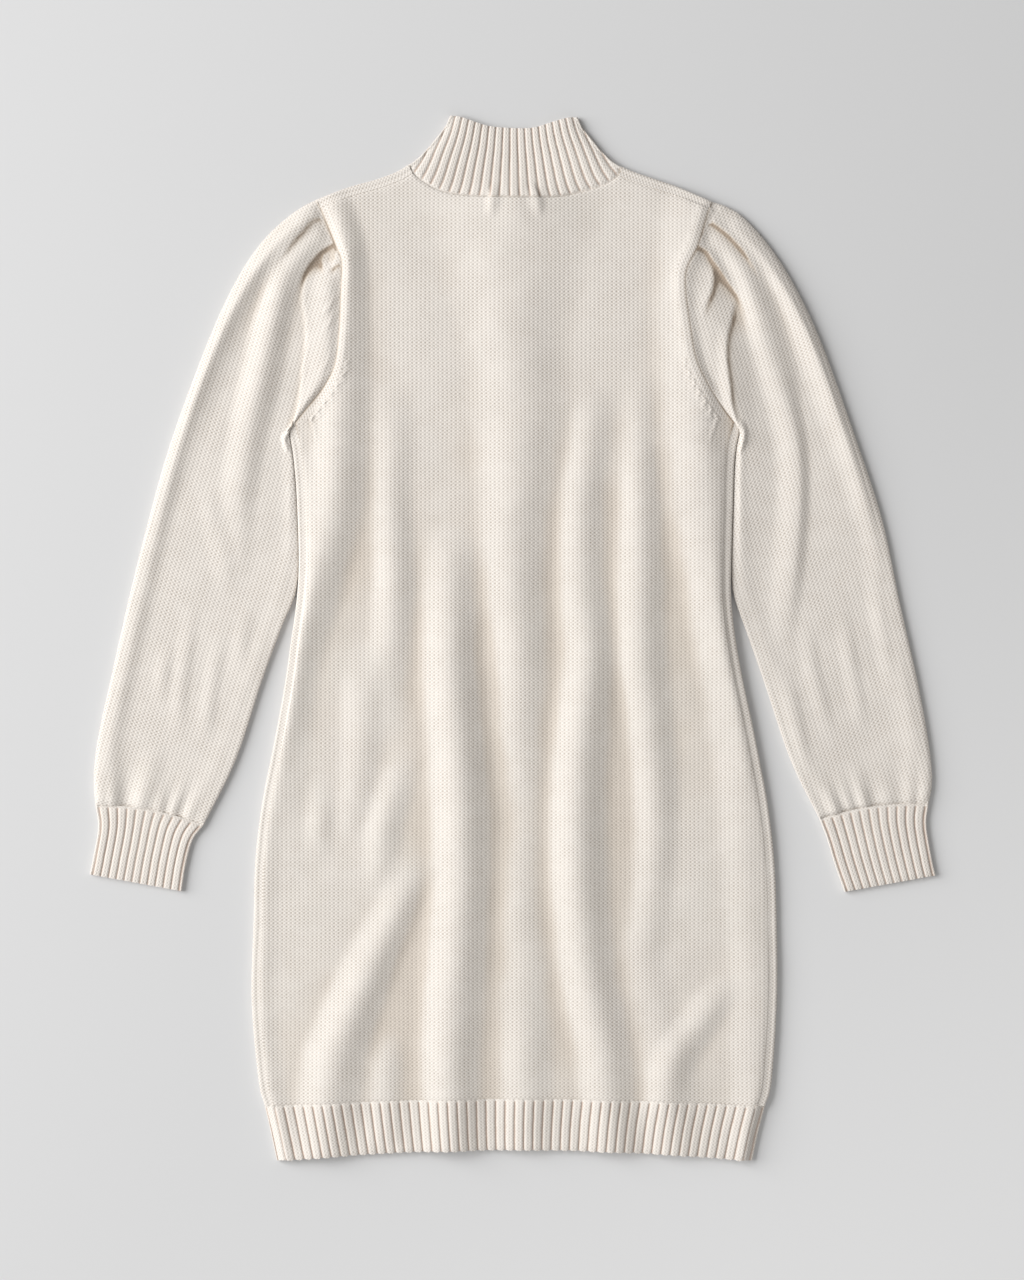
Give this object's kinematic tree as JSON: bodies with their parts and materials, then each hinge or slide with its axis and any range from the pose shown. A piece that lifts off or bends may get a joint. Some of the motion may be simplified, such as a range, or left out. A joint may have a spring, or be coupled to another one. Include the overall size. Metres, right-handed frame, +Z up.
{
  "type": "sweater dress",
  "caption": "Knitted mini sweater dress with puff sleeves, ribbed mock neck, cuffs and hem, laid flat on its front.",
  "frame": {"origin": "centre of the dress's outline, on the floor it lies on", "axes": "+Y towards the collar, +X towards the wearer's right sleeve, +Z up out of the dress's back"},
  "size_m": [0.7604, 0.9392, 0.0116],
  "materials": {
    "body_knit": "matte ivory stockinette",
    "rib_knit": "matte ivory rib"
  },
  "bodies": {
    "root": {"front_panel": "body_knit", "back_panel": "body_knit", "sleeve_left": "body_knit", "sleeve_right": "body_knit", "front_hem_rib": "rib_knit", "back_hem_rib": "rib_knit", "cuff_left": "rib_knit", "cuff_right": "rib_knit", "collar": "rib_knit"}
  },
  "joints": []
}
